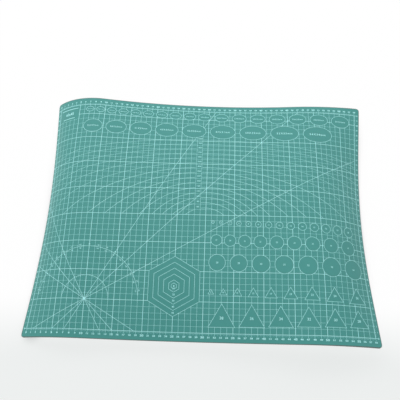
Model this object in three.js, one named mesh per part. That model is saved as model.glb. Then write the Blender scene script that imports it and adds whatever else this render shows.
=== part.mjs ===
// Craft cutting mat: a laminated sheet of three plies that has taken a curl and stands on its two side edges.
// Millimetres and degrees. +Z is up, +X runs along the mat's length, and -Y is the front.
import * as THREE from 'three';
import { toCreasedNormals } from 'three/addons/utils/BufferGeometryUtils.js';

// Sheet as it was cut, measured along the printed face
const LENGTH = 600;
const DEPTH = 450;
const CORNER_RADIUS = 6;
const SKIN_THICKNESS = 0.8;
const CORE_THICKNESS = 1.4;

// Curl of the side edges: each end of the sheet turns down along a circular arc
const LEFT_CURL_WIDTH = 105;
const RIGHT_CURL_WIDTH = 130;
const LEFT_CURL = { front: 36, middle: 52, back: 61 };
const RIGHT_CURL = { front: 35, middle: 40, back: 19 };

// Warp of the middle: the front and back edges drop, dip between their ends, and twist against each other
const CROWN_DROP = 21;
const EDGE_DIP = 13;
const TWIST = 3;

// Facets
const CURL_COLUMNS = 7;
const MIDDLE_COLUMNS = 14;
const MIDDLE_ROWS = 15;
const CORNER_ROWS = 4;
const WALK_STEPS = 80;
const CREASE_ANGLE = 40;

const HALF_LENGTH = LENGTH / 2;
const HALF_DEPTH = DEPTH / 2;

// Places on the sheet are (s, t): s to the right and t to the back, along the printed face from its middle.

/** End angle of a curl, through its three given angles, at a depth w from -1 (front) to 1 (back). */
function endAngle(curl, w) {
  const lean = (curl.back - curl.front) / 2;
  const fade = (curl.back + curl.front) / 2 - curl.middle;
  return curl.middle + lean * w + fade * w * w;
}

/** How far into a curl a place is, from 0 where the curl starts to 1 at the side edge. */
function intoCurl(distanceFromMiddle, curlWidth) {
  return THREE.MathUtils.clamp((distanceFromMiddle - HALF_LENGTH) / curlWidth + 1, 0, 1);
}

/** Slope of the sheet towards +X at a place on it, in radians. */
function slopeAt(s, t) {
  const w = t / HALF_DEPTH;
  const left = endAngle(LEFT_CURL, w) * intoCurl(-s, LEFT_CURL_WIDTH);
  const right = endAngle(RIGHT_CURL, w) * intoCurl(s, RIGHT_CURL_WIDTH);
  const warp = EDGE_DIP * w * w * (s / HALF_LENGTH) - TWIST * w;
  return THREE.MathUtils.degToRad(left - right + warp);
}

/** Point of the middle line, which runs from front to back over the crown and keeps its length. */
function middlePoint(t) {
  const bend = (2 * CROWN_DROP) / HALF_DEPTH ** 2;
  const y = (t * Math.sqrt(1 - (bend * t) ** 2) + Math.asin(bend * t) / bend) / 2;
  return new THREE.Vector3(0, y, -CROWN_DROP * (t / HALF_DEPTH) ** 2);
}

/** Point of the printed face: a walk along the sheet from its middle line, which keeps its length. */
function facePoint(s, t) {
  const point = middlePoint(t);
  const step = s / WALK_STEPS;
  for (let i = 0; i < WALK_STEPS; i += 1) {
    const slope = slopeAt((i + 0.5) * step, t);
    point.x += Math.cos(slope) * step;
    point.z += Math.sin(slope) * step;
  }
  return point;
}

/** Outward normal of the printed face. */
function faceNormal(s, t) {
  const slope = slopeAt(s, t);
  const along = new THREE.Vector3(Math.cos(slope), 0, Math.sin(slope));
  const across = facePoint(s, t + 1).sub(facePoint(s, t - 1));
  return along.cross(across).normalize();
}

/** Half the sheet's length at a depth t, which shortens round the corners. */
function halfLengthAt(t) {
  const pastCorner = Math.max(0, Math.abs(t) - (HALF_DEPTH - CORNER_RADIUS));
  const reach = Math.sqrt(Math.max(0, CORNER_RADIUS ** 2 - pastCorner ** 2));
  return HALF_LENGTH - CORNER_RADIUS + reach;
}

/** Even stations from one value to another, without the last one. */
function stations(from, to, count) {
  return Array.from({ length: count }, (_, i) => from + ((to - from) * i) / count);
}

/** Depths of the facet rows: even between the corners and on equal turns round them. */
function rowDepths() {
  const straight = HALF_DEPTH - CORNER_RADIUS;
  const turns = stations(90, 0, CORNER_ROWS);
  const corner = turns.map((turn) => straight + CORNER_RADIUS * Math.sin(THREE.MathUtils.degToRad(turn)));
  const front = corner.map((t) => -t);
  return [...front, ...stations(-straight, straight, MIDDLE_ROWS), straight, ...corner.reverse()];
}

/** Places of the facet columns on a full row: even in each curl and in the middle. */
function columnPlaces() {
  const leftStart = LEFT_CURL_WIDTH - HALF_LENGTH;
  const rightStart = HALF_LENGTH - RIGHT_CURL_WIDTH;
  return [
    ...stations(-HALF_LENGTH, leftStart, CURL_COLUMNS),
    ...stations(leftStart, rightStart, MIDDLE_COLUMNS),
    ...stations(rightStart, HALF_LENGTH, CURL_COLUMNS),
    HALF_LENGTH,
  ];
}

const ROWS = rowDepths();
const COLUMNS = columnPlaces();

/** Vertices of the surface that lies parallel to the printed face, a given depth below it. */
function parallelSurface(below) {
  return ROWS.flatMap((t) => {
    const shorter = halfLengthAt(t) / HALF_LENGTH;
    return COLUMNS.map((column) => {
      const s = column * shorter;
      return facePoint(s, t).addScaledVector(faceNormal(s, t), -below);
    });
  });
}

/** Vertex numbers round the outline of a surface, counter-clockwise from above. */
function outline() {
  const columns = COLUMNS.length;
  const lastColumn = columns - 1;
  const lastRow = ROWS.length - 1;
  const front = stations(0, lastColumn, lastColumn);
  const right = stations(0, lastRow, lastRow).map((row) => row * columns + lastColumn);
  const back = stations(lastColumn, 0, lastColumn).map((column) => lastRow * columns + column);
  const left = stations(lastRow, 0, lastRow).map((row) => row * columns);
  return [...front, ...right, ...back, ...left];
}

/** Closed solid of one ply between two surfaces that are parallel to the printed face. */
function plyGeometry(topBelow, bottomBelow) {
  const upper = parallelSurface(topBelow);
  const lower = parallelSurface(bottomBelow);
  const under = upper.length;
  const index = [];
  for (let row = 0; row < ROWS.length - 1; row += 1) {
    for (let column = 0; column < COLUMNS.length - 1; column += 1) {
      const a = row * COLUMNS.length + column;
      const b = a + 1;
      const c = b + COLUMNS.length;
      const d = a + COLUMNS.length;
      index.push(a, b, c, a, c, d);
      index.push(under + a, under + c, under + b, under + a, under + d, under + c);
    }
  }
  const rim = outline();
  rim.forEach((p, i) => {
    const q = rim[(i + 1) % rim.length];
    index.push(under + p, under + q, q, under + p, q, p);
  });
  const geometry = new THREE.BufferGeometry().setFromPoints([...upper, ...lower]);
  geometry.setIndex(index);
  return toCreasedNormals(geometry, THREE.MathUtils.degToRad(CREASE_ANGLE));
}

/** One ply of the laminate as a named mesh. */
function ply(name, topBelow, thickness, finish) {
  const geometry = plyGeometry(topBelow, topBelow + thickness);
  const mesh = new THREE.Mesh(geometry, new THREE.MeshStandardMaterial(finish));
  mesh.name = name;
  return mesh;
}

const GREEN_PVC = { color: 0x50918a, roughness: 0.55, metalness: 0 };
const GREY_PVC = { color: 0x5c6969, roughness: 0.6, metalness: 0 };

const coreTop = SKIN_THICKNESS;
const bottomTop = coreTop + CORE_THICKNESS;

const cuttingMat = new THREE.Group();
cuttingMat.name = 'cutting_mat';
cuttingMat.add(ply('top_skin', 0, SKIN_THICKNESS, GREEN_PVC));
cuttingMat.add(ply('core', coreTop, CORE_THICKNESS, GREY_PVC));
cuttingMat.add(ply('bottom_skin', bottomTop, SKIN_THICKNESS, GREEN_PVC));

// The origin lies on the table, under the middle of the mat's box
const box = new THREE.Box3().setFromObject(cuttingMat, true);
const middle = box.getCenter(new THREE.Vector3());
cuttingMat.position.set(-middle.x, -middle.y, -box.min.z);

export default cuttingMat;
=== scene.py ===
"""Looks of a craft cutting mat: three curled vinyl plies and the ink printed on the top one."""
import logging
import math
from dataclasses import dataclass, field
from enum import Enum
from typing import ClassVar, Optional, Sequence, Union

import bmesh
import bpy
import numpy as np
from mathutils import Matrix, Vector


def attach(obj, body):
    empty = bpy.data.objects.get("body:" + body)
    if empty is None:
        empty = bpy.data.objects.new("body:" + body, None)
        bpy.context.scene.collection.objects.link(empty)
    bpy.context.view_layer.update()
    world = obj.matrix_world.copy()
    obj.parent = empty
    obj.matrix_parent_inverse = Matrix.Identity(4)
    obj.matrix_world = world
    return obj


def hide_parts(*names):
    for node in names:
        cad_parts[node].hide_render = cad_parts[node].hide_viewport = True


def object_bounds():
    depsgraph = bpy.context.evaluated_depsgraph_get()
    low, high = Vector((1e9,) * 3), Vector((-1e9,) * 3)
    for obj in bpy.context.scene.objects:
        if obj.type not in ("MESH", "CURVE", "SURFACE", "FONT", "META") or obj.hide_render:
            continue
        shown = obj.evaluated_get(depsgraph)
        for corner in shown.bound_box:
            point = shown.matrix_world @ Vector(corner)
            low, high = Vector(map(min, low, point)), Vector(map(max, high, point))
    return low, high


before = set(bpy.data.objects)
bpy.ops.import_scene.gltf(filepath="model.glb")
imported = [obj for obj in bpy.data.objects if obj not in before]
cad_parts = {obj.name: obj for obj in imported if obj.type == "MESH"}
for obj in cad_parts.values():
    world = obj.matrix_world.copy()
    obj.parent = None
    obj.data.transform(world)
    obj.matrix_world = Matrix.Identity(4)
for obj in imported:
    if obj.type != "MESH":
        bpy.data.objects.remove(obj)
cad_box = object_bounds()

MM = 0.001
CM = 0.01
MM_PER_CM = 10
TOLERANCE = 1e-7
LEVEL_CLIMB = 1e-12
SHORTEST_LINE = 0.02
SHARP_ANGLE = math.radians(40)
BODY = "root"
FRAME_PIXELS = 400

Point = tuple[float, float]
Place = tuple[float, float, float]
Colour = tuple[float, float, float]
Outline = Sequence[Point]
Number = Union[float, "Value"]

log = logging.getLogger("cutting_mat")


def linear(red: int, green: int, blue: int) -> Colour:
    """Turns red, green and blue from 0 to 255 into the linear values that shaders take."""
    parts = [channel / 255 for channel in (red, green, blue)]
    return tuple(p / 12.92 if p <= 0.04045 else ((p + 0.055) / 1.055) ** 2.4 for p in parts)


def polar(centre: Point, reach: float, turn: float) -> Point:
    """The point at that distance from a centre, and at that angle in radians from the right."""
    return (centre[0] + reach * math.cos(turn), centre[1] + reach * math.sin(turn))


# Shader maths

class Value:
    """A number socket of a material, so that shader maths reads as a Python expression."""

    def __init__(self, nodes: "Nodes", socket: bpy.types.NodeSocket) -> None:
        """Keeps the socket and the material's nodes that it belongs to."""
        self.nodes = nodes
        self.socket = socket

    def _math(self, operation: str, first: Number, second: Number) -> "Value":
        """Adds one Math node with two operands, and gives its result."""
        node = self.nodes.add("ShaderNodeMath", {"operation": operation}, {0: first, 1: second})
        return Value(self.nodes, node.outputs[0])

    def __add__(self, other: Number) -> "Value":
        """This value plus another."""
        return self._math("ADD", self, other)

    def __radd__(self, other: Number) -> "Value":
        """Another value plus this one."""
        return self._math("ADD", other, self)

    def __rsub__(self, other: Number) -> "Value":
        """Another value less this one."""
        return self._math("SUBTRACT", other, self)

    def __mul__(self, other: Number) -> "Value":
        """This value times another."""
        return self._math("MULTIPLY", self, other)

    def __rmul__(self, other: Number) -> "Value":
        """Another value times this one."""
        return self._math("MULTIPLY", other, self)


@dataclass(frozen=True)
class Grain:
    """Noise in a finish: grains per metre, octaves, and how much closer the grains lie by axis.

    It may be cut down to spots, over a range from bare to full. It blends in the finish's second
    colour, roughens the surface, and raises bumps by a strength and a depth in metres.
    """

    per_metre: float
    octaves: float
    closer: Place = (1.0, 1.0, 1.0)
    spots: Optional[Point] = None
    blend: float = 0.0
    roughness: float = 0.0
    relief: Optional[Point] = None


class Nodes:
    """The node tree of a material or of the world, with its shader and its coordinates at hand."""

    mix_colours: ClassVar[tuple[int, int]] = (6, 7)
    mixed_colour: ClassVar[int] = 2
    background_rays: ClassVar[Sequence[str]] = ("Is Camera Ray", "Is Glossy Ray", "Is Transmission Ray")

    def __init__(self, owner: Union[bpy.types.Material, bpy.types.World]) -> None:
        """Starts on a new material or world, with the one shader that Blender gives it.

        Args:
            owner: the material or world.
        """
        owner.use_nodes = True
        self.owner = owner
        self.tree = owner.node_tree
        is_world = isinstance(owner, bpy.types.World)
        self.shader = self.tree.nodes["Background" if is_world else "Principled BSDF"]
        coordinates = self.add("ShaderNodeTexCoord", {}, {})
        self.place = coordinates.outputs["Generated" if is_world else "Object"]

    def add(self, kind: str, settings: dict, sockets: dict) -> bpy.types.Node:
        """Adds a node, sets it and feeds it.

        Args:
            kind: the node's type name.
            settings: the node's own settings, which are set first.
            sockets: what its inputs are fed.

        Returns:
            The new node.
        """
        node = self.tree.nodes.new(kind)
        for name, setting in settings.items():
            setattr(node, name, setting)
        self.feed(node, sockets)
        return node

    def feed(self, node: bpy.types.Node, sockets: dict) -> None:
        """Links a node's inputs to values or sockets, or sets them to constants.

        Args:
            node: the node to feed.
            sockets: input name or number to a value, a socket or a constant.
        """
        for name, source in sockets.items():
            if isinstance(source, Value):
                source = source.socket
            if isinstance(source, bpy.types.NodeSocket):
                self.tree.links.new(source, node.inputs[name])
            else:
                node.inputs[name].default_value = source

    def noise(self, grain: Grain) -> Value:
        """Adds noise over the piece.

        Args:
            grain: the noise's size and shape.

        Returns:
            A value from 0 to 1.
        """
        place = self.add("ShaderNodeMapping", {}, {"Vector": self.place, "Scale": grain.closer})
        node = self.add("ShaderNodeTexNoise", {},
                        {"Vector": place.outputs[0], "Scale": grain.per_metre, "Detail": grain.octaves})
        noise = Value(self, node.outputs["Fac"])
        return self.between(*grain.spots, noise) if grain.spots else noise

    def between(self, low: Number, high: Number, value: Value) -> Value:
        """How far a value is from low to high, held between 0 and 1, with soft ends."""
        node = self.add("ShaderNodeMapRange", {"interpolation_type": "SMOOTHSTEP", "clamp": True},
                        {"Value": value, "From Min": low, "From Max": high})
        return Value(self, node.outputs["Result"])

    def mix(self, share: Value, *colours: Union[Colour, bpy.types.NodeSocket]) -> bpy.types.NodeSocket:
        """Mixes two linear colours or colour sockets by the second one's share, from 0 to 1."""
        feeds = [(*colour, 1.0) if isinstance(colour, tuple) else colour for colour in colours]
        return self.add("ShaderNodeMix", {"data_type": "RGBA"},
                        {0: share, **dict(zip(self.mix_colours, feeds))}).outputs[self.mixed_colour]

    def along(self, axis: str) -> Value:
        """The piece's own coordinate along one axis, X, Y or Z."""
        node = self.add("ShaderNodeSeparateXYZ", {}, {0: self.place})
        return Value(self, node.outputs[axis])

    def from_middle(self) -> Value:
        """The distance from the piece's own origin."""
        node = self.add("ShaderNodeVectorMath", {"operation": "LENGTH"}, {0: self.place})
        return Value(self, node.outputs["Value"])

    def background(self) -> Value:
        """1 on rays that show the plain background, straight, in a gloss or through glass; 0 on others."""
        path = self.add("ShaderNodeLightPath", {}, {})
        return sum((Value(self, path.outputs[ray]) for ray in self.background_rays), 0.0)

    def bump(self, height: Value, strength: float, distance: float) -> bpy.types.NodeSocket:
        """A normal for the shader, from a relief of 0 to 1, its strength and its depth in metres."""
        node = self.add("ShaderNodeBump", {},
                        {"Height": height, "Strength": strength, "Distance": distance})
        return node.outputs[0]


# Finishes

@dataclass(frozen=True)
class Finish:
    """A surface whose grains blend two colours, vary the roughness and raise bumps."""

    name: str
    colour: Colour
    second: Colour
    grains: Sequence[Grain]
    blend_range: Point
    roughness: float
    gloss: float = 0.5
    sheen: float = 0.0

    def material(self) -> bpy.types.Material:
        """Makes the material.

        Returns:
            The finished material.
        """
        nodes = Nodes(bpy.data.materials.new(self.name))
        blend, roughness = 0.0, self.roughness
        for grain in self.grains:
            noise = nodes.noise(grain)
            blend = blend + noise * grain.blend
            roughness = roughness + noise * grain.roughness
            if grain.relief:
                nodes.feed(nodes.shader, {"Normal": nodes.bump(noise, *grain.relief)})
        share = nodes.between(*self.blend_range, blend)
        nodes.feed(nodes.shader, {"Base Color": nodes.mix(share, self.colour, self.second),
                                  "Roughness": roughness,
                                  "Specular IOR Level": self.gloss,
                                  "Sheen Weight": self.sheen})
        return nodes.owner


CLOUDS = Grain(7, 2, blend=0.55)
MOTTLE = Grain(340, 3, blend=0.35, roughness=0.12)
SCUFFS = Grain(26, 4, (1.0, 9.0, 1.0), spots=(0.66, 0.8), blend=0.12, roughness=-0.05)
STIPPLE = Grain(1700, 2, relief=(0.55, 0.09 * MM))
UNDER_STIPPLE = Grain(1500, 2, relief=STIPPLE.relief)


@dataclass(frozen=True)
class VinylFinish(Finish):
    """Matt vinyl sheet with a fine stipple, faint clouds of colour, a few scuffs and a pale sheen."""

    grains: Sequence[Grain] = (CLOUDS, MOTTLE, SCUFFS, STIPPLE)
    blend_range: Point = (0.0, 1.0)
    roughness: float = 0.54
    gloss: float = 0.3
    sheen: float = 0.2


@dataclass(frozen=True)
class CutEdgeFinish(Finish):
    """Vinyl where the sheet was cut through, with fine lines along the cut, and specks."""

    grains: Sequence[Grain] = (Grain(300, 2, (1.0, 1.0, 14.0), blend=0.7, relief=(0.3, 0.1 * MM)),
                               Grain(1500, 2, blend=0.3, roughness=0.2))
    blend_range: Point = (0.25, 0.75)
    roughness: float = 0.5


@dataclass(frozen=True)
class InkFinish(Finish):
    """Screen-printed ink, thinner in places and at pinholes, so that the vinyl's green shows through."""

    name: str = "pale_ink"
    colour: Colour = linear(186, 245, 247)
    second: Colour = linear(170, 235, 236)
    grains: Sequence[Grain] = (Grain(60, 3, blend=0.6),
                               Grain(1800, 2, blend=0.4, roughness=0.1, relief=(0.2, 0.04 * MM)))
    blend_range: Point = (0.35, 0.8)
    roughness: float = 0.55
    gloss: float = 0.4


# The sheet and its curl

@dataclass(frozen=True)
class EdgeCurl:
    """How one side edge turns down: the curl's width, and its end angles in degrees."""

    width: float
    front: float
    middle: float
    back: float

    def end_angle(self, across: np.ndarray) -> np.ndarray:
        """The angle that the edge reaches, for places from -1 at the front to 1 at the back."""
        bow = (self.back + self.front) / 2 - self.middle
        return self.middle + (self.back - self.front) / 2 * across + bow * across ** 2


@dataclass
class Sheet:
    """The mat as a flat sheet, and the way that it curls without stretching.

    A place on the flat sheet is given by s to the right and t to the back, from the middle of the
    printed face, and a height above that face.
    """

    length: float = 600 * MM
    depth: float = 450 * MM
    corner_radius: float = 6 * MM
    left: EdgeCurl = EdgeCurl(105 * MM, 36.0, 52.0, 61.0)
    right: EdgeCurl = EdgeCurl(130 * MM, 35.0, 40.0, 19.0)
    crown_drop: float = 21 * MM
    edge_dip: float = 13.0
    twist: float = 3.0
    walk_steps: int = 48
    cell: float = 5 * MM
    shift: np.ndarray = field(default_factory=lambda: np.zeros(3))

    def slope(self, s: np.ndarray, t: np.ndarray) -> np.ndarray:
        """The sheet's slope to the right, in radians, at places on it.

        Args:
            s: places to the right.
            t: places to the back.

        Returns:
            The slopes, positive where the sheet rises to the right.
        """
        across = t / (self.depth / 2)
        half = self.length / 2
        into_left = np.clip((-s - half) / self.left.width + 1, 0, 1)
        into_right = np.clip((s - half) / self.right.width + 1, 0, 1)
        degrees = self.left.end_angle(across) * into_left
        degrees = degrees - self.right.end_angle(across) * into_right
        degrees = degrees + self.edge_dip * across ** 2 * (s / half) - self.twist * across
        return np.radians(degrees)

    def face(self, s: np.ndarray, t: np.ndarray) -> np.ndarray:
        """Where places on the printed face lie once the sheet is curled.

        Args:
            s: places to the right.
            t: places to the back.

        Returns:
            One row of x, y and z for each place.
        """
        half_depth = self.depth / 2
        bend = 2 * self.crown_drop / half_depth ** 2
        y = (t * np.sqrt(1 - (bend * t) ** 2) + np.arcsin(bend * t) / bend) / 2
        x = np.zeros_like(s)
        z = -self.crown_drop * (t / half_depth) ** 2
        step = s / self.walk_steps
        for number in range(self.walk_steps):
            slope = self.slope((number + 0.5) * step, t)
            x = x + np.cos(slope) * step
            z = z + np.sin(slope) * step
        return np.stack([x, y, z], axis=1)

    def curl(self, flat: np.ndarray) -> np.ndarray:
        """Curls flat points and sets them where the frame's mat lies.

        Args:
            flat: rows of s, t and height above the printed face.

        Returns:
            One row of x, y and z for each point.
        """
        s, t, height = flat[:, 0], flat[:, 1], flat[:, 2]
        along_slope = self.slope(s, t)
        to_right = np.stack([np.cos(along_slope), np.zeros_like(s), np.sin(along_slope)], axis=1)
        to_back = self.face(s, t + MM) - self.face(s, t - MM)
        normal = np.cross(to_right, to_back)
        normal = normal / np.linalg.norm(normal, axis=1, keepdims=True)
        return self.face(s, t) + normal * height[:, None] + self.shift

    def curl_mesh(self, mesh: bmesh.types.BMesh) -> None:
        """Curls a mesh that lies on the flat sheet.

        Args:
            mesh: the mesh.
        """
        curled = self.curl(np.array([vertex.co for vertex in mesh.verts]))
        for vertex, place in zip(mesh.verts, curled):
            vertex.co = place

    def cut_into_cells(self, mesh: bmesh.types.BMesh) -> None:
        """Cuts a mesh on the flat sheet across and along, clear of the grid's lines, to follow the curl.

        Args:
            mesh: the mesh.
        """
        for axis, size in ((Vector((1, 0, 0)), self.length), (Vector((0, 1, 0)), self.depth)):
            for number in range(round(size / self.cell)):
                place = axis * ((number + 0.5) * self.cell - size / 2)
                everything = mesh.verts[:] + mesh.edges[:] + mesh.faces[:]
                bmesh.ops.bisect_plane(mesh, geom=everything, dist=TOLERANCE, plane_co=place, plane_no=axis)


def thicken(mesh: bmesh.types.BMesh, rise: float) -> None:
    """Turns the flat faces of a mesh into closed slabs.

    Args:
        mesh: the mesh, whose faces become the slabs' undersides.
        rise: the slabs' thickness.
    """
    grown = bmesh.ops.extrude_face_region(mesh, geom=mesh.faces[:], use_keep_orig=True)
    raised = [part for part in grown["geom"] if isinstance(part, bmesh.types.BMVert)]
    bmesh.ops.translate(mesh, verts=raised, vec=(0, 0, rise))
    bmesh.ops.recalc_face_normals(mesh, faces=mesh.faces[:])


def make_piece(name: str, mesh: bmesh.types.BMesh, materials: Sequence[bpy.types.Material],
               stands_for: Optional[str] = None) -> None:
    """Turns a finished bmesh into a piece of the object.

    Args:
        name: the piece's name.
        mesh: its shape, in place; it is freed.
        materials: its finishes, by the faces' material numbers.
        stands_for: the frame's node that it replaces, if any.
    """
    many_sided = [face for face in mesh.faces if len(face.verts) > 4]
    bmesh.ops.triangulate(mesh, faces=many_sided)
    for face in mesh.faces:
        face.smooth = True
    data = bpy.data.meshes.new(name)
    mesh.to_mesh(data)
    mesh.free()
    data.set_sharp_from_angle(angle=SHARP_ANGLE)
    for material in materials:
        data.materials.append(material)
    piece = bpy.data.objects.new(name, data)
    bpy.context.scene.collection.objects.link(piece)
    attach(piece, BODY)
    if stands_for:
        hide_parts(stands_for)
    log.info("%s: %d faces", name, len(data.polygons))


class RoundedRim(Enum):
    """Which rim of a ply is eased by cutting and handling."""

    UPPER = 1
    NONE = 0
    LOWER = -1


class Surface(Enum):
    """What a face of a ply is, by the number of its finish."""

    LEVEL = 0
    CUT = 1
    WORN = 2


@dataclass
class Ply:
    """One flat layer of the mat, between two depths below the printed face."""

    name: str
    node: str
    slot: str
    top: float
    bottom: float
    rim: RoundedRim
    rim_radius: float = 0.7 * MM
    rim_segments: int = 3
    worn_band: float = 0.6 * MM
    corner_segments: int = 10
    level_normal: float = 0.98
    worn_normal: float = 0.5

    def flat_mesh(self, sheet: Sheet) -> bmesh.types.BMesh:
        """Makes the ply on the flat sheet.

        Args:
            sheet: the sheet that gives its outline.

        Returns:
            A closed slab with round corners, cut into cells. Its eased rim has a worn band along it.
        """
        mesh = bmesh.new()
        outline = Matrix.Translation((0, 0, -self.bottom))
        outline = outline @ Matrix.Diagonal((sheet.length, sheet.depth, 1, 1))
        bmesh.ops.create_grid(mesh, x_segments=1, y_segments=1, size=0.5, matrix=outline)
        bmesh.ops.bevel(mesh, geom=mesh.verts[:], offset=sheet.corner_radius, offset_type="OFFSET",
                        affect="VERTICES", segments=self.corner_segments, profile=0.5, material=-1)
        thicken(mesh, self.bottom - self.top)
        self.ease_rim(mesh)
        mesh.normal_update()
        for face in mesh.faces:
            upright = abs(face.normal.z)
            steep = Surface.WORN if upright > self.worn_normal else Surface.CUT
            surface = Surface.LEVEL if upright > self.level_normal else steep
            face.material_index = surface.value
        outer = [face for face in mesh.faces if face.normal.z * self.rim.value > self.level_normal]
        worn = bmesh.ops.inset_individual(mesh, faces=outer, thickness=self.worn_band,
                                          use_even_offset=True)
        for face in worn["faces"]:
            face.material_index = Surface.WORN.value
        sheet.cut_into_cells(mesh)
        return mesh

    def ease_rim(self, mesh: bmesh.types.BMesh) -> None:
        """Rounds the ply's outer rim a little, where it has one.

        Args:
            mesh: the ply's slab.
        """
        if self.rim is RoundedRim.NONE:
            return
        level = -self.top if self.rim is RoundedRim.UPPER else -self.bottom
        edges = [edge for edge in mesh.edges
                 if all(abs(vertex.co.z - level) < TOLERANCE for vertex in edge.verts)]
        bmesh.ops.bevel(mesh, geom=edges, offset=self.rim_radius, offset_type="OFFSET",
                        affect="EDGES", segments=self.rim_segments, profile=0.5, material=-1)


@dataclass
class Plies:
    """The three bonded layers: a green working skin, a core and a green under skin."""

    skin_thickness: float = 0.8 * MM
    core_thickness: float = 1.4 * MM
    top_finish: VinylFinish = VinylFinish("green_vinyl", linear(65, 143, 137), linear(75, 153, 147))
    core_finish: CutEdgeFinish = CutEdgeFinish("core_vinyl", linear(58, 66, 66), linear(92, 98, 97))
    # The skins' cut sides are dark grey: partly the cut edge's own tone, partly painted shade for the dark
    # line along the front edge
    cut_finish: CutEdgeFinish = CutEdgeFinish("cut_side", linear(58, 62, 60), linear(86, 89, 86))
    worn_finish: CutEdgeFinish = CutEdgeFinish("worn_rim", linear(76, 98, 94), linear(98, 122, 117))
    bottom_finish: VinylFinish = VinylFinish("under_vinyl", linear(60, 132, 127), linear(70, 144, 138),
                                             (CLOUDS, MOTTLE, SCUFFS, UNDER_STIPPLE))

    def build(self, sheet: Sheet) -> None:
        """Makes the layers, curls them and settles the sheet where the frame's mat lies.

        Args:
            sheet: the sheet, whose shift is set here.
        """
        under_skin = self.skin_thickness + self.core_thickness
        whole = under_skin + self.skin_thickness
        top, core, cut, worn, bottom = (finish.material() for finish in (
            self.top_finish, self.core_finish, self.cut_finish, self.worn_finish, self.bottom_finish))
        plies = [
            (Ply("working_skin", "top_skin", "top_pvc", 0.0, self.skin_thickness, RoundedRim.UPPER),
             [top, cut, worn]),
            (Ply("inner_core", "core", "core_pvc", self.skin_thickness, under_skin, RoundedRim.NONE),
             [core, core, core]),
            (Ply("under_skin", "bottom_skin", "bottom_pvc", under_skin, whole, RoundedRim.LOWER),
             [bottom, cut, worn]),
        ]
        layers = [(ply, finishes, ply.flat_mesh(sheet)) for ply, finishes in plies]
        for _, _, mesh in layers:
            sheet.curl_mesh(mesh)
        places = np.array([vertex.co for _, _, mesh in layers for vertex in mesh.verts])
        low, high = places.min(axis=0), places.max(axis=0)
        frame_low, frame_high = np.array(cad_box[0]), np.array(cad_box[1])
        sheet.shift = (frame_low + frame_high - low - high) / 2
        sheet.shift[2] = frame_low[2] - low[2]
        for ply, finishes, mesh in layers:
            bmesh.ops.translate(mesh, verts=mesh.verts[:], vec=tuple(sheet.shift))
            make_piece(ply.name, mesh, finishes, ply.node)


# The print

class Shape(Enum):
    """Outline of a printed template, by its number of corners."""

    ROUND = 56
    TRIANGLE = 3
    HEXAGON = 6


class Layer(Enum):
    """Layers of ink from the lowest up, so that lines that cross don't share a face."""

    COLUMNS = 0
    ROWS = 1
    RULES = 2
    ARCS = 3
    MARKS = 4
    NUMBERS = 5


@dataclass(frozen=True)
class Template:
    """One printed outline, in centimetres on the grid, and its size label.

    A polygon's half width and half height are both the radius through its corners.
    """

    shape: Shape
    centre: Point
    half_width: float
    half_height: float
    label: str
    label_centre: Point
    label_height: float
    label_spacing: float = 1.0

    def corners(self) -> Outline:
        """Corner points, from the top round to the left."""
        turns = [2 * math.pi * number / self.shape.value for number in range(self.shape.value)]
        return [(self.centre[0] - self.half_width * math.sin(turn),
                 self.centre[1] + self.half_height * math.cos(turn)) for turn in turns]


@dataclass(frozen=True)
class TemplateRow:
    """A row of like templates, with sizes and gaps in millimetres.

    A pair holds the first one's value and what each next one adds. The start is in centimetres: the
    first middle along the row, and the line that round shapes hang from or triangles are centred on.
    A triangle's label rises by a share of the triangle's height.
    """

    shape: Shape
    count: int
    width: Point
    height: Point
    start: Point
    gap: Point
    label: str
    label_height: Point
    label_spacing: float = 1.0
    label_rise: float = 0.06

    def templates(self) -> list[Template]:
        """Lays the row out from left to right.

        Returns:
            The row's templates.
        """
        laid = []
        centre, line = self.start
        for number in range(self.count):
            width, height, gap, label_height = (
                (first + added * number) / MM_PER_CM
                for first, added in (self.width, self.height, self.gap, self.label_height))
            half_width, half_height = width / 2, height / 2
            middle = label_middle = line - half_height
            if self.shape is Shape.TRIANGLE:
                # The corners lie two thirds of the height from the middle
                half_width = half_height = height * 2 / 3
                middle = line - half_height / 4
                label_middle = middle + self.label_rise * height
            sizes = {"width": round(width * MM_PER_CM), "height": round(height * MM_PER_CM)}
            laid.append(Template(self.shape, (centre, middle), half_width, half_height,
                                 self.label.format(**sizes), (centre, label_middle), label_height,
                                 self.label_spacing))
            centre += width + self.width[1] / 2 / MM_PER_CM + gap
        return laid


def outside(start: Point, end: Point, holes: Sequence[Outline]) -> list[tuple[Point, Point]]:
    """Cuts a straight line where it crosses convex outlines.

    Args:
        start: where the line starts.
        end: where it ends.
        holes: the outlines' corners, each list running anticlockwise.

    Returns:
        The stretches of the line that lie outside all of them, without the shortest.
    """
    run = (end[0] - start[0], end[1] - start[1])
    length = math.hypot(*run)
    blanks = []
    for corners in holes:
        enter, leave = 0.0, 1.0
        for first, second in zip(corners, [*corners[1:], corners[0]]):
            inward = (first[1] - second[1], second[0] - first[0])
            height = inward[0] * (start[0] - first[0]) + inward[1] * (start[1] - first[1])
            climb = inward[0] * run[0] + inward[1] * run[1]
            if abs(climb) < LEVEL_CLIMB:
                leave = leave if height > 0 else -1.0
            elif climb > 0:
                enter = max(enter, -height / climb)
            else:
                leave = min(leave, -height / climb)
        if leave > enter:
            blanks.append((enter, leave))
    stretches = []
    reached = 0.0
    for enter, leave in sorted(blanks) + [(1.0, 1.0)]:
        if (enter - reached) * length > SHORTEST_LINE:
            stretches.append((reached, enter))
        reached = max(reached, leave)
    return [tuple((start[0] + run[0] * share, start[1] + run[1] * share) for share in stretch)
            for stretch in stretches]


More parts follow.
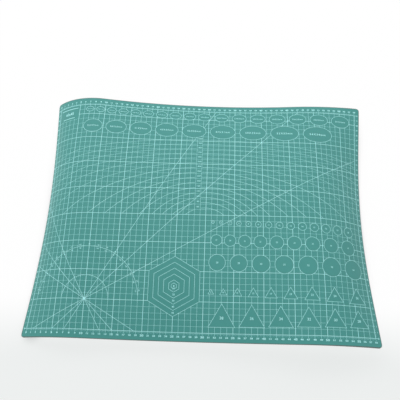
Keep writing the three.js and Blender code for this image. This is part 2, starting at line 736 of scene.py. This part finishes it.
@dataclass(frozen=True)
class PrintGrid:
    """The printed field in centimetres: its size, its line widths and the heights of the ink."""

    columns: int = 58
    rows: int = 42
    bold_every: int = 5
    thin: float = 0.037
    thin_row: float = 0.0255
    bold: float = 0.077
    bold_row: float = 0.066
    guide: float = 0.05
    fine: float = 0.012
    ink_base: float = -0.005
    ink_top: float = 0.005
    layer_rise: float = 0.0005

    def is_bold(self, number: int) -> bool:
        """Whether the line of that number is a bold one."""
        return number % self.bold_every == 0


@dataclass(frozen=True)
class PrintRun:
    """What all the print is made with: its field, the sheet, the ink and the outlines kept clear."""

    grid: PrintGrid
    sheet: Sheet
    ink: bpy.types.Material
    holes: Sequence[Outline]


@dataclass
class Print:
    """One printed piece: shapes are drafted in centimetres on the grid, then pressed into ink."""

    name: str
    run: PrintRun
    draft: bmesh.types.BMesh = field(default_factory=bmesh.new)
    ink: bmesh.types.BMesh = field(default_factory=bmesh.new)
    digit_height: ClassVar[float] = 0.69
    glyph_steps: ClassVar[int] = 3
    dot_sides: ClassVar[int] = 16
    fewest_steps: ClassVar[int] = 8

    def line(self, start: Point, end: Point, width: float) -> None:
        """Drafts a straight line.

        Args:
            start: where it starts.
            end: where it ends.
            width: its width.
        """
        run = Vector((end[0] - start[0], end[1] - start[1]))
        place = Matrix.Translation(((start[0] + end[0]) / 2, (start[1] + end[1]) / 2, 0))
        place = place @ Matrix.Rotation(math.atan2(run.y, run.x), 4, "Z")
        place = place @ Matrix.Diagonal((run.length, width, 1, 1))
        bmesh.ops.create_grid(self.draft, x_segments=1, y_segments=1, size=0.5, matrix=place)

    def outline(self, template: Template, width: float) -> None:
        """Drafts a template's outline, as a band along its edge.

        Args:
            template: the template.
            width: the band's width.
        """
        corner_reach = width / 2 / math.cos(math.pi / template.shape.value)
        place = Matrix.Translation((*template.centre, 0))
        place = place @ Matrix.Diagonal((template.half_width + corner_reach,
                                         template.half_height + corner_reach, 1, 1))
        made = bmesh.ops.create_circle(self.draft, cap_ends=True, segments=template.shape.value,
                                       radius=1, matrix=place)
        face = made["verts"][0].link_faces[0]
        bmesh.ops.inset_individual(self.draft, faces=[face], thickness=width, use_even_offset=True)
        bmesh.ops.delete(self.draft, geom=[face], context="FACES_ONLY")

    def dot(self, centre: Point, radius: float) -> None:
        """Drafts a round dot."""
        bmesh.ops.create_circle(self.draft, cap_ends=True, segments=self.dot_sides, radius=radius,
                                matrix=Matrix.Translation((*centre, 0)))

    def arc(self, centre: Point, radius: float, first: float, last: float, width: float) -> None:
        """Drafts an arc.

        Args:
            centre: its centre.
            radius: its radius, to the middle of the line.
            first: the angle where it starts, in radians from the right.
            last: the larger angle where it ends.
            width: the line's width.
        """
        ends = [self.draft.verts.new((*polar(centre, reach, first), 0))
                for reach in (radius - width / 2, radius + width / 2)]
        edge = self.draft.edges.new(ends)
        steps = max(self.fewest_steps, round((last - first) * radius / (self.run.sheet.cell / CM)))
        bmesh.ops.spin(self.draft, geom=[*ends, edge], cent=(*centre, 0), axis=(0, 0, 1),
                       angle=last - first, steps=steps, use_merge=False)

    def write(self, text: str, centre: Point, height: float, turn: float = 0.0,
              spacing: float = 1.0, widen: float = 1.0, growth: float = 0.01) -> None:
        """Drafts a number or a size.

        Args:
            text: what is written.
            centre: its middle.
            height: the height of a digit.
            turn: how far it is turned to the left, in radians.
            spacing: how far its characters stand apart, 1 as usual.
            widen: how much wider its characters are than usual.
            growth: how far its strokes are grown on each side.
        """
        curve = bpy.data.curves.new("number", "FONT")
        curve.body = text
        curve.resolution_u = self.glyph_steps
        curve.offset = growth
        curve.space_character = spacing
        holder = bpy.data.objects.new("number", curve)
        data = bpy.data.meshes.new_from_object(holder)
        across = [vertex.co.x for vertex in data.vertices]
        middle = Vector(((min(across) + max(across)) / 2, self.digit_height / 2, 0))
        size = height / self.digit_height
        place = Matrix.Translation((*centre, 0)) @ Matrix.Rotation(turn, 4, "Z")
        place = place @ Matrix.Diagonal((size * widen, size, size, 1))
        data.transform(place @ Matrix.Translation(-middle))
        self.draft.from_mesh(data)
        bpy.data.objects.remove(holder)
        bpy.data.curves.remove(curve)
        bpy.data.meshes.remove(data)

    def press(self, layer: Layer, cut: bool = False) -> None:
        """Gives the draft the thickness of ink, adds it to the print and starts a new draft.

        Args:
            layer: the layer of ink.
            cut: whether long shapes are cut into the sheet's cells.
        """
        draft, grid = self.draft, self.run.grid
        to_middle = (-grid.columns / 2, -grid.rows / 2, grid.ink_base)
        bmesh.ops.translate(draft, verts=draft.verts[:], vec=to_middle)
        bmesh.ops.scale(draft, verts=draft.verts[:], vec=(CM, CM, CM))
        if cut:
            self.run.sheet.cut_into_cells(draft)
        thicken(draft, (grid.ink_top - grid.ink_base + grid.layer_rise * layer.value) * CM)
        data = bpy.data.meshes.new("layer")
        draft.to_mesh(data)
        draft.free()
        self.ink.from_mesh(data)
        bpy.data.meshes.remove(data)
        self.draft = bmesh.new()

    def finish(self) -> None:
        """Curls the print with the sheet and makes it a piece."""
        self.draft.free()
        self.run.sheet.curl_mesh(self.ink)
        make_piece(self.name, self.ink, [self.run.ink])


@dataclass
class Templates:
    """The shapes to draw or cut round: ellipses, circles, triangles and nested hexagons."""

    rows: Sequence[TemplateRow] = (
        TemplateRow(Shape.ROUND, 10, (14.5, 1.05), (10.6, 0.8), (7.08, 41.57), (5.3, 0),
                    "{width}X{height}mm", (1.55, 0.07), 1.18),
        TemplateRow(Shape.ROUND, 7, (25.5, 1.6), (18.9, 1.0), (32.42, 41.55), (7.55, 0),
                    "{width}X{height}mm", (2.55, 0.03), 1.28),
        TemplateRow(Shape.ROUND, 9, (36.2, 2.25), (26.8, 0.9), (8.02, 38.78), (6.95, 0.28),
                    "{width}X{height}mm", (2.8, 0.15), 1.36),
        TemplateRow(Shape.ROUND, 14, (5, 1), (5, 1), (31.3, 18.95), (8.8, -0.3), "{width}", (2.1, 0.05)),
        TemplateRow(Shape.ROUND, 9, (19, 1), (19, 1), (31.97, 16.45), (4.0, 0.5), "{width}", (2.3, 0)),
        TemplateRow(Shape.ROUND, 7, (28, 1), (28, 1), (32.17, 13.0), (8.0, 0), "{width}", (2.75, 0)),
        TemplateRow(Shape.TRIANGLE, 9, (9.24, 2.6), (8, 2.25), (31.24, 6.72), (10.1, 0.2), "{height}",
                    (2.1, 0.18)),
        TemplateRow(Shape.TRIANGLE, 6, (43.9, -2.31), (38, -2), (33.1, 2.88), (6.5, 0), "{height}",
                    (4.45, -0.1)),
    )
    hexagon_centre: Point = (25.0, 7.5)
    hexagon_radii: Sequence[float] = (5.0, 4.0, 3.0, 2.0, 1.0, 0.5)
    hexagon_label_rise: float = 0.6
    hexagon_label_height: float = 0.29
    smallest_labelled: float = 1.0
    dot_radius: float = 0.12
    line: float = 0.05

    def all(self) -> list[Template]:
        """Lays out every template.

        Returns:
            The rows' templates, then the hexagons from the largest in.
        """
        laid = [template for row in self.rows for template in row.templates()]
        across, along = self.hexagon_centre
        for radius in self.hexagon_radii:
            label = str(round(radius * MM_PER_CM)) if radius >= self.smallest_labelled else ""
            label_centre = (across, along - radius + self.hexagon_label_rise)
            laid.append(Template(Shape.HEXAGON, self.hexagon_centre, radius, radius, label, label_centre,
                                 self.hexagon_label_height))
        return laid

    def holes(self) -> list[Outline]:
        """The outlines inside which the grid isn't printed."""
        return [template.corners() for template in self.all()]

    def build(self, run: PrintRun) -> None:
        """Prints the outlines and their size labels.

        Args:
            run: what they are printed with.
        """
        outlines = Print("printed_templates", run)
        for template in self.all():
            if template.shape is not Shape.ROUND:
                outlines.outline(template, self.line)
        outlines.press(Layer.MARKS, cut=True)
        for template in self.all():
            if template.shape is Shape.ROUND:
                outlines.outline(template, self.line)
        outlines.dot(self.hexagon_centre, self.dot_radius)
        outlines.press(Layer.MARKS)
        outlines.finish()
        labels = Print("printed_sizes", run)
        for template in self.all():
            if template.label:
                labels.write(template.label, template.label_centre, template.label_height,
                             spacing=template.label_spacing)
        labels.press(Layer.NUMBERS)
        labels.finish()


@dataclass
class RuledGrid:
    """The square grid, thin at every centimetre and bold at every fifth, with a title block."""

    block: Outline = ((0.1, 39.1), (4.9, 39.1), (4.9, 41.9), (0.1, 41.9))
    block_text: str = "60x45"
    block_text_centre: Point = (2.7, 40.4)
    block_text_height: float = 0.55
    block_rules: Sequence[Place] = ((0.5, 4.6, 41.4), (1.1, 4.0, 39.45))
    block_rule_width: float = 0.11

    def build(self, run: PrintRun) -> None:
        """Prints the lines, and the mat's size between two rules in the title block.

        Args:
            run: what they are printed with.
        """
        grid = run.grid
        work = Print("printed_grid", run)
        blanks = [*run.holes, self.block]
        for column in range(grid.columns + 1):
            bold = grid.is_bold(column) or column == grid.columns
            for start, end in outside((column, 0), (column, grid.rows), blanks):
                work.line(start, end, grid.bold if bold else grid.thin)
        work.press(Layer.COLUMNS, cut=True)
        for row in range(grid.rows + 1):
            bold = grid.is_bold(row) or row == grid.rows
            for start, end in outside((0, row), (grid.columns, row), blanks):
                work.line(start, end, grid.bold_row if bold else grid.thin_row)
        work.press(Layer.ROWS, cut=True)
        work.write(self.block_text, self.block_text_centre, self.block_text_height)
        for first, last, row in self.block_rules:
            work.line((first, row), (last, row), self.block_rule_width)
        work.press(Layer.RULES, cut=True)
        work.finish()


@dataclass
class Rulers:
    """Ticks and numbers in the four margins."""

    centimetre_tick: float = 0.44
    half_tick: float = 0.33
    millimetre_tick: float = 0.23
    number_height: float = 0.25
    bold_height: float = 0.31
    widen: float = 1.35
    growth: float = 0.035
    front: float = -0.66
    back: float = 0.65
    side: float = 0.56
    side_reach: float = 0.26
    corner_reach: float = 0.55

    def tick(self, millimetre: int) -> float:
        """Length of the tick at that millimetre: longest at a centimetre, longer at a half."""
        short = self.millimetre_tick if millimetre % (MM_PER_CM // 2) else self.half_tick
        return short if millimetre % MM_PER_CM else self.centimetre_tick

    def build(self, run: PrintRun) -> None:
        """Prints the rulers.

        Args:
            run: what they are printed with.
        """
        grid = run.grid
        ticks = Print("printed_ticks", run)
        # An order of -1 swaps across and along, for the rulers at the sides
        for count, far, longest, order in ((grid.columns, grid.rows, self.centimetre_tick, 1),
                                           (grid.rows, grid.columns, self.side_reach, -1)):
            for millimetre in range(count * MM_PER_CM + 1):
                place = millimetre / MM_PER_CM
                reach = min(self.tick(millimetre), longest)
                width = grid.fine if millimetre % MM_PER_CM else grid.thin
                for first, last in ((-reach, 0), (far, far + reach)):
                    ticks.line((place, first)[::order], (place, last)[::order], width)
        for row in (0, grid.rows):
            ticks.line((-self.corner_reach, row), (0, row), grid.bold_row)
            ticks.line((grid.columns, row), (grid.columns + self.corner_reach, row), grid.bold_row)
        ticks.press(Layer.RULES)
        ticks.finish()
        numbers = Print("printed_numbers", run)
        for number in range(grid.columns + 1):
            height = self.bold_height if grid.is_bold(number) else self.number_height
            for row in (self.front, grid.rows + self.back):
                numbers.write(str(number), (number, row), height, widen=self.widen, growth=self.growth)
            for column in (-self.side, grid.columns + self.side):
                if number <= grid.rows:
                    numbers.write(str(number), (column, number), height)
        numbers.press(Layer.NUMBERS)
        numbers.finish()


@dataclass
class Protractor:
    """Rays from one point, with two arcs of degrees round it."""

    centre: Point = (10.0, 5.0)
    rays: Sequence[int] = (30, 45, 60, 120, 135, 150, 210, 225, 240, 300, 315, 330)
    inner_radius: float = 4.0
    outer_radius: float = 9.0
    outer_ends: Sequence[int] = (5, 175)
    tick: float = 0.25
    tick_degrees: Sequence[int] = range(0, 181, 5)
    number_degrees: Sequence[int] = range(10, 171, 10)
    number_rise: float = 0.3
    number_height: float = 0.2

    def at(self, degrees: float, reach: float) -> Point:
        """The point at an angle from the right, and at a distance from the centre."""
        return polar(self.centre, reach, math.radians(degrees))

    def to_border(self, grid: PrintGrid, degrees: float) -> Point:
        """Where a ray leaves the grid.

        Args:
            grid: the printed field.
            degrees: the ray's angle from the right.

        Returns:
            The point on the border.
        """
        run, climb = polar((0.0, 0.0), 1.0, math.radians(degrees))
        across = ((grid.columns if run > 0 else 0) - self.centre[0]) / run
        along = ((grid.rows if climb > 0 else 0) - self.centre[1]) / climb
        return self.at(degrees, min(across, along))

    def build(self, run: PrintRun) -> None:
        """Prints the rays, arcs, ticks and degrees.

        Args:
            run: what they are printed with.
        """
        grid = run.grid
        work = Print("printed_protractor", run)
        for degrees in self.rays:
            for start, end in outside(self.centre, self.to_border(grid, degrees), run.holes):
                work.line(start, end, grid.guide)
        work.press(Layer.RULES, cut=True)
        first, last = (math.radians(degrees) for degrees in self.outer_ends)
        work.arc(self.centre, self.inner_radius, 0, math.pi, grid.guide)
        work.arc(self.centre, self.outer_radius, first, last, grid.guide)
        work.press(Layer.ARCS)
        for degrees in self.tick_degrees:
            work.line(self.at(degrees, self.inner_radius - self.tick),
                      self.at(degrees, self.inner_radius), grid.fine)
        work.press(Layer.MARKS)
        for degrees in self.number_degrees:
            turn = math.radians(degrees - 90)
            beyond = self.at(degrees, self.outer_radius + self.number_rise)
            work.write(str(degrees), beyond, self.number_height, turn)
            if degrees != 90:
                inside = self.at(degrees, self.outer_radius - self.number_rise)
                work.write(str(180 - degrees), inside, self.number_height, turn)
        work.press(Layer.NUMBERS)
        work.finish()


@dataclass
class RadiusGuide:
    """A fan of arcs that share one middle line, each with its radius in millimetres beside it."""

    middle: float = 29.8
    first_top: float = 21.3
    foot: float = 20.0
    radii: Sequence[int] = (5, 8, 10, 12, 15, 20, 25, 30, 40, 50, 60, 70, 80, 90, 100)
    label_column: float = 28.55
    label_gap: Point = (29.1, 27.85)
    label_rise: float = 0.22
    label_height: float = 0.23
    label_widen: float = 1.3
    line: float = 0.045
    wide_radius: int = 50
    wide_line: float = 0.031

    def build(self, run: PrintRun) -> None:
        """Prints the arcs and their radii.

        Args:
            run: what they are printed with.
        """
        work = Print("printed_radius_guide", run)
        upright = math.pi / 2
        for number, radius in enumerate(self.radii):
            centre = (self.middle, self.first_top + number - radius)
            to_foot = math.acos(min(1.0, (self.foot - centre[1]) / radius))
            to_left = math.asin(min(1.0, self.middle / radius))
            to_right = math.asin(min(1.0, (run.grid.columns - self.middle) / radius))
            gap_start, gap_end = (math.asin((self.middle - side) / radius) for side in self.label_gap)
            width = self.wide_line if radius >= self.wide_radius else self.line
            work.arc(centre, radius, upright - min(to_foot, to_right), upright + gap_start, width)
            work.arc(centre, radius, upright + gap_end, upright + min(to_foot, to_left), width)
        work.press(Layer.ARCS)
        for number, radius in enumerate(self.radii):
            place = (self.label_column, self.first_top + number + self.label_rise)
            work.write(str(radius * MM_PER_CM), place, self.label_height, widen=self.label_widen)
        work.press(Layer.NUMBERS)
        work.finish()


# The studio

@dataclass(frozen=True)
class Lamp:
    """A round, broad lamp that points at the mat."""

    name: str
    place: Place
    size: float
    power: float

    def build(self) -> None:
        """Hangs the lamp."""
        data = bpy.data.lights.new(self.name, "AREA")
        data.shape = "DISK"
        data.size = self.size
        data.energy = self.power
        lamp = bpy.data.objects.new(self.name, data)
        lamp.location = self.place
        lamp.rotation_euler = (-Vector(self.place)).to_track_quat("-Z", "Y").to_euler()
        bpy.context.scene.collection.objects.link(lamp)


@dataclass
class Studio:
    """A pale floor, soft light from the front, the left and behind, and the camera."""

    floor_size: float = 8.0
    floor_cells: int = 8
    floor_colour: Colour = (0.94, 0.945, 0.945)
    floor_roughness: float = 0.9
    floor_gloss: float = 0.1
    fibres: Grain = Grain(900, 3)
    fibre_shade: float = 0.985
    lamp_share: Point = (0.16, 0.02)
    front_to_back: Point = (-0.265, -0.14)
    near_to_far: Point = (0.55, 1.1)
    # Painted shade of the mat on the floor in front, tinted green as painted bounce light from the mat
    front_glow: Colour = (0.863, 0.886, 0.88)
    white_glow: Colour = (1.0, 1.0, 1.0)
    # Ambient occlusion within this reach paints a contact shadow into the floor's glow
    contact_reach: float = 22 * MM
    contact_range: Point = (0.48, 0.97)
    contact_shade: Colour = (0.58, 0.6, 0.595)
    sky_range: Point = (-0.2, 0.9)
    sky_front: float = 0.775
    sky_left: float = 0.565
    lamps: Sequence[Lamp] = (Lamp("back_lamp", (0.0, 1.0, 1.5), 1.3, 11.5),
                             Lamp("left_lamp", (-1.0, 0.8, 1.5), 1.3, 10.6),
                             Lamp("right_lamp", (1.8, 1.8, 1.0), 2.0, 22.5))
    focal_pixels: float = 507.57
    axis_pixel: Point = (196.16, 193.90)
    eye: Place = (36.79 * MM, -310.87 * MM, 836.05 * MM)
    elevation: float = 67.683
    yaw: float = -7.535
    roll: float = -5.822
    sensor: float = 36.0
    nearest: float = 10 * MM

    def floor(self) -> None:
        """Lays the floor under the mat."""
        mesh = bmesh.new()
        bmesh.ops.create_grid(mesh, x_segments=self.floor_cells, y_segments=self.floor_cells,
                              size=self.floor_size / 2)
        data = bpy.data.meshes.new("floor")
        mesh.to_mesh(data)
        mesh.free()
        data.materials.append(self.paper())
        floor = bpy.data.objects.new("floor", data)
        bpy.context.scene.collection.objects.link(floor)

    def paper(self) -> bpy.types.Material:
        """Makes the floor's paper, seen white at the back and far off, with painted shade in front and at
        the mat's edges.

        Returns:
            The finished material.
        """
        nodes = Nodes(bpy.data.materials.new("floor_paper"))
        shade = tuple(channel * self.fibre_shade for channel in self.floor_colour)
        nodes.feed(nodes.shader, {
            "Base Color": nodes.mix(nodes.noise(self.fibres), shade, self.floor_colour),
            "Roughness": self.floor_roughness,
            "Specular IOR Level": self.floor_gloss,
        })
        back = nodes.between(*self.front_to_back, nodes.along("Y"))
        far = nodes.between(*self.near_to_far, nodes.from_middle())
        # The glow is white at the back and far off, and turns to painted shade in front of the mat
        bare = nodes.mix(back + far * (1 - back), self.front_glow, self.white_glow)
        # Painted contact shadow: the glow darkens towards contact_shade where the mat is close above the
        # floor
        contact = nodes.add("ShaderNodeAmbientOcclusion", {}, {"Distance": self.contact_reach})
        clear = nodes.between(*self.contact_range, Value(nodes, contact.outputs["AO"]))
        glow = nodes.add("ShaderNodeEmission", {},
                         {"Color": nodes.mix(clear, self.contact_shade, bare), "Strength": 1.0})
        front_share, back_share = self.lamp_share
        lamp_share = (front_share + back * (back_share - front_share)) * (1 - far)
        both = nodes.add("ShaderNodeMixShader", {}, {0: nodes.background() * (1 - lamp_share),
                                                     1: nodes.shader.outputs[0], 2: glow.outputs[0]})
        nodes.feed(nodes.tree.nodes["Material Output"], {"Surface": both.outputs[0]})
        return nodes.owner

    def lights(self) -> None:
        """Sets the sky, bright at the front and the left, and the lamps behind the mat."""
        world = bpy.data.worlds.new("sky")
        nodes = Nodes(world)
        to_front, to_left = (nodes.between(*self.sky_range, -1 * nodes.along(axis)) for axis in "YX")
        strength = to_front * self.sky_front + to_left * self.sky_left
        nodes.feed(nodes.shader, {"Color": (1.0, 1.0, 1.0, 1.0),
                                  "Strength": strength + nodes.background() * (1 - strength)})
        bpy.context.scene.world = world
        for lamp in self.lamps:
            lamp.build()

    def camera(self, sheet: Sheet) -> None:
        """Sets the camera over the sheet's middle.

        Args:
            sheet: the sheet, once it is settled on the floor.
        """
        dip, turn, roll = (math.radians(angle) for angle in (self.elevation, self.yaw, self.roll))
        aim = Matrix.Rotation(-turn, 4, "Z") @ Matrix.Rotation(math.pi / 2 - dip, 4, "X")
        aim = aim @ Matrix.Rotation(roll, 4, "Z")
        data = bpy.data.cameras.new("camera")
        data.sensor_width = self.sensor
        data.lens = self.focal_pixels * self.sensor / FRAME_PIXELS
        data.shift_x = 0.5 - self.axis_pixel[0] / FRAME_PIXELS
        data.shift_y = self.axis_pixel[1] / FRAME_PIXELS - 0.5
        data.clip_start = self.nearest
        camera = bpy.data.objects.new("camera", data)
        camera.matrix_world = Matrix.Translation(Vector(self.eye) + Vector(sheet.shift)) @ aim
        bpy.context.scene.collection.objects.link(camera)
        bpy.context.scene.camera = camera


def main() -> None:
    """Builds the mat's plies, its print and the studio, in that order."""
    logging.basicConfig(level=logging.INFO, format="%(message)s")
    bpy.context.scene.view_settings.view_transform = "Standard"
    sheet = Sheet()
    Plies().build(sheet)
    templates = Templates()
    run = PrintRun(PrintGrid(), sheet, InkFinish().material(), templates.holes())
    for work in (RuledGrid(), Rulers(), templates, Protractor(), RadiusGuide()):
        work.build(run)
    studio = Studio()
    studio.floor()
    studio.lights()
    studio.camera(sheet)


if __name__ == "__main__":
    main()
